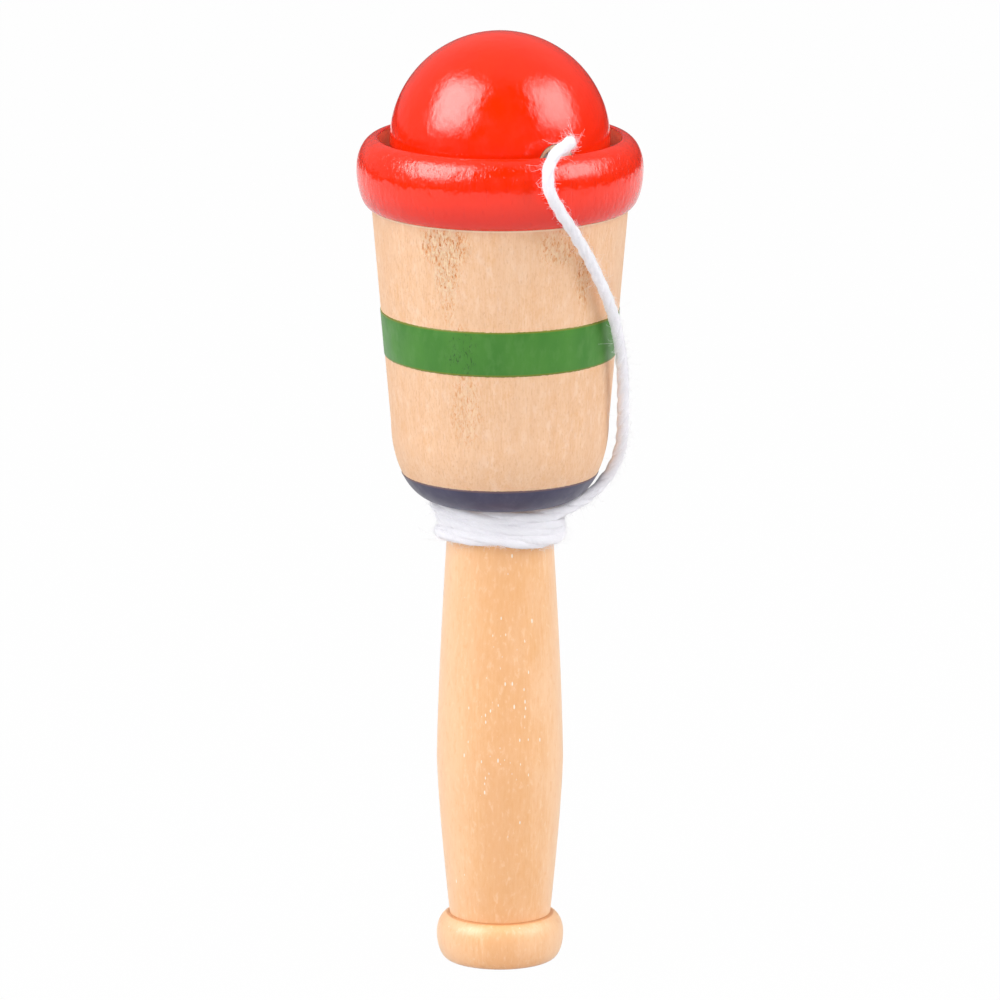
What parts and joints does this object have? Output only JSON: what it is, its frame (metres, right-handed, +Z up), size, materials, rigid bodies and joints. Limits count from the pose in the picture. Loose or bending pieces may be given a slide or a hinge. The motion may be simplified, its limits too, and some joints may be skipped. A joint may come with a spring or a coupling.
{
  "type": "cup and ball toy",
  "caption": "Turned wooden cup on a slim handle; a lacquered wooden ball sits in the bowl and is tethered to the neck by a cotton cord.",
  "frame": {"origin": "centre of the flat under the foot", "axes": "+Z up the handle's axis, -Y towards the viewer of the front"},
  "size_m": [0.0422, 0.0435, 0.1402],
  "materials": {
    "cup_wood": "bare, finely sanded",
    "red_paint": "gloss paint on wood",
    "green_paint": "satin paint on wood",
    "navy_paint": "satin paint on wood",
    "handle_wood": "clear lacquer",
    "red_lacquer": "gloss paint on wood",
    "cotton_cord": "twisted cotton"
  },
  "bodies": {
    "toy": {"cup": "cup_wood", "rim_paint": "red_paint", "green_band": "green_paint", "navy_band": "navy_paint", "handle": "handle_wood", "cord_winding": "cotton_cord", "neck_knot": "cotton_cord", "cord_free_run": "cotton_cord"},
    "tether_end": {"cord_in_ball": "cotton_cord", "ball_knot": "cotton_cord"},
    "ball": {"ball": "red_lacquer"}
  },
  "joints": [
    {"name": "ball_lift", "type": "slide", "parent": "toy", "child": "tether_end", "axis": [0, 0, 1], "range_m": [0, 0.022], "deforming": ["cord_free_run"]},
    {"name": "ball_spin", "type": "hinge", "parent": "tether_end", "child": "ball", "pos_m": [0, 0, 0.124], "axis": [0.5071, -0.8608, -0.0436], "continuous": true}
  ]
}
